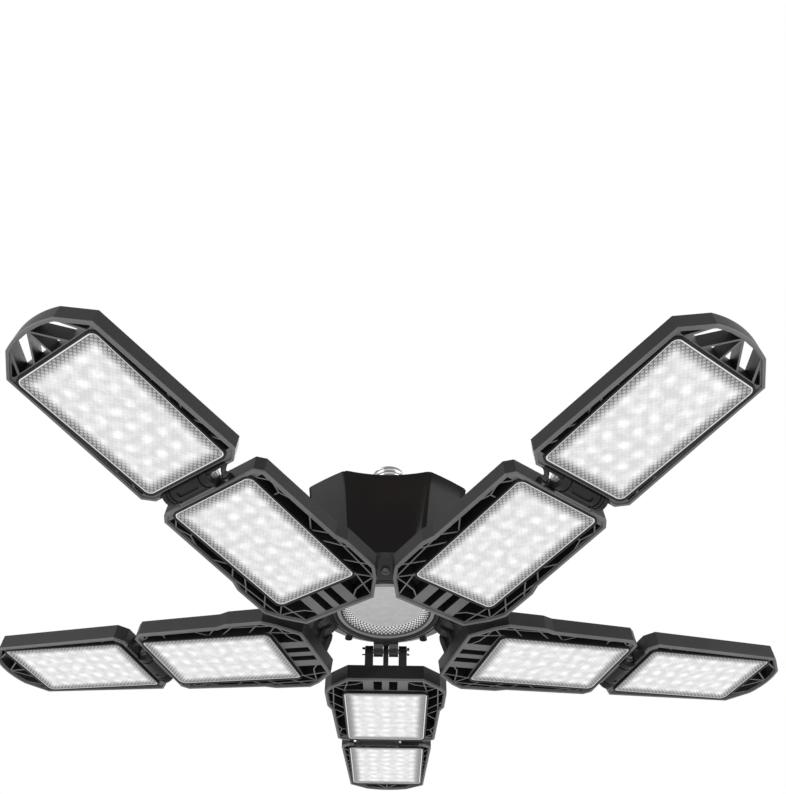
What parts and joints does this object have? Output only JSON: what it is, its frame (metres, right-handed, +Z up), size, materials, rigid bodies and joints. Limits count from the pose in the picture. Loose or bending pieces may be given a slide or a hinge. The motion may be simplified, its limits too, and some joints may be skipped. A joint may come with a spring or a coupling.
{
  "type": "folding ceiling light",
  "caption": "Screw-in ceiling light with a lobed hub, a round centre lens and hinged two-part lamp arms that fold up and down.",
  "frame": {"origin": "on the screw base's axis, where its threaded shell meets the collar of the hub", "axes": "+Z up along the screw base towards its contact; -Y towards the gap between the two front arms; +X to the right seen from the front"},
  "size_m": [0.605, 0.5786, 0.159],
  "materials": {
    "hub_plastic": "gloss",
    "hub_casting": "satin",
    "panel_casting": "satin",
    "lens": "frosted, prismatic",
    "led_board": "white solder mask",
    "circuit_board": "satin",
    "screw_steel": "plated",
    "shell_metal": "bright",
    "base_glass": "gloss",
    "cable_rubber": "satin"
  },
  "bodies": {
    "hub": {"hub_housing": "hub_plastic", "hub_base": "hub_casting", "hub_screws": "screw_steel", "centre_bezel": "hub_plastic", "centre_lens": "lens", "centre_led_board": "led_board", "driver_board": "circuit_board", "base_collar": "hub_plastic", "screw_shell": "shell_metal", "base_insulator": "base_glass", "base_contact": "shell_metal"},
    "inner_panel_front_left": {"inner_housing_front_left": "panel_casting", "inner_lens_front_left": "lens", "inner_led_board_front_left": "led_board", "root_screw_front_left": "screw_steel"},
    "outer_panel_front_left": {"outer_housing_front_left": "panel_casting", "outer_lens_front_left": "lens", "outer_led_board_front_left": "led_board", "outer_screw_front_left": "screw_steel", "jumper_cable_front_left": "cable_rubber"},
    "inner_panel_front_right": {"inner_housing_front_right": "panel_casting", "inner_lens_front_right": "lens", "inner_led_board_front_right": "led_board", "root_screw_front_right": "screw_steel"},
    "outer_panel_front_right": {"outer_housing_front_right": "panel_casting", "outer_lens_front_right": "lens", "outer_led_board_front_right": "led_board", "outer_screw_front_right": "screw_steel", "jumper_cable_front_right": "cable_rubber"},
    "inner_panel_rear_right": {"inner_housing_rear_right": "panel_casting", "inner_lens_rear_right": "lens", "inner_led_board_rear_right": "led_board", "root_screw_rear_right": "screw_steel"},
    "outer_panel_rear_right": {"outer_housing_rear_right": "panel_casting", "outer_lens_rear_right": "lens", "outer_led_board_rear_right": "led_board", "outer_screw_rear_right": "screw_steel", "jumper_cable_rear_right": "cable_rubber"},
    "inner_panel_rear_centre": {"inner_housing_rear_centre": "panel_casting", "inner_lens_rear_centre": "lens", "inner_led_board_rear_centre": "led_board", "root_screw_rear_centre": "screw_steel"},
    "outer_panel_rear_centre": {"outer_housing_rear_centre": "panel_casting", "outer_lens_rear_centre": "lens", "outer_led_board_rear_centre": "led_board", "outer_screw_rear_centre": "screw_steel", "jumper_cable_rear_centre": "cable_rubber"},
    "inner_panel_rear_left": {"inner_housing_rear_left": "panel_casting", "inner_lens_rear_left": "lens", "inner_led_board_rear_left": "led_board", "root_screw_rear_left": "screw_steel"},
    "outer_panel_rear_left": {"outer_housing_rear_left": "panel_casting", "outer_lens_rear_left": "lens", "outer_led_board_rear_left": "led_board", "outer_screw_rear_left": "screw_steel", "jumper_cable_rear_left": "cable_rubber"}
  },
  "joints": [
    {"name": "root_hinge_front_left", "type": "hinge", "parent": "hub", "child": "inner_panel_front_left", "pos_m": [-0.02941, -0.04047, -0.10667], "axis": [-0.809, 0.5878, 0], "range_deg": [-18, 45]},
    {"name": "outer_hinge_front_left", "type": "hinge", "parent": "inner_panel_front_left", "child": "outer_panel_front_left", "pos_m": [-0.1088, -0.14974, -0.11168], "axis": [-0.809, 0.5878, 0], "range_deg": [-90, 45], "deforming": ["jumper_cable_front_left"]},
    {"name": "root_hinge_front_right", "type": "hinge", "parent": "hub", "child": "inner_panel_front_right", "pos_m": [0.02941, -0.04047, -0.10667], "axis": [-0.809, -0.5878, 0], "range_deg": [-18, 45]},
    {"name": "outer_hinge_front_right", "type": "hinge", "parent": "inner_panel_front_right", "child": "outer_panel_front_right", "pos_m": [0.1088, -0.14974, -0.11168], "axis": [-0.809, -0.5878, 0], "range_deg": [-90, 45], "deforming": ["jumper_cable_front_right"]},
    {"name": "root_hinge_rear_right", "type": "hinge", "parent": "hub", "child": "inner_panel_rear_right", "pos_m": [0.04758, 0.01546, -0.10667], "axis": [0.309, -0.9511, 0], "range_deg": [-18, 45]},
    {"name": "outer_hinge_rear_right", "type": "hinge", "parent": "inner_panel_rear_right", "child": "outer_panel_rear_right", "pos_m": [0.17603, 0.0572, -0.11168], "axis": [0.309, -0.9511, 0], "range_deg": [-90, 45], "deforming": ["jumper_cable_rear_right"]},
    {"name": "root_hinge_rear_centre", "type": "hinge", "parent": "hub", "child": "inner_panel_rear_centre", "pos_m": [0, 0.05003, -0.10667], "axis": [1, 0, 0], "range_deg": [-18, 45]},
    {"name": "outer_hinge_rear_centre", "type": "hinge", "parent": "inner_panel_rear_centre", "child": "outer_panel_rear_centre", "pos_m": [0, 0.18509, -0.11168], "axis": [1, 0, 0], "range_deg": [-90, 45], "deforming": ["jumper_cable_rear_centre"]},
    {"name": "root_hinge_rear_left", "type": "hinge", "parent": "hub", "child": "inner_panel_rear_left", "pos_m": [-0.04758, 0.01546, -0.10667], "axis": [0.309, 0.9511, 0], "range_deg": [-18, 45]},
    {"name": "outer_hinge_rear_left", "type": "hinge", "parent": "inner_panel_rear_left", "child": "outer_panel_rear_left", "pos_m": [-0.17603, 0.0572, -0.11168], "axis": [0.309, 0.9511, 0], "range_deg": [-90, 45], "deforming": ["jumper_cable_rear_left"]}
  ]
}
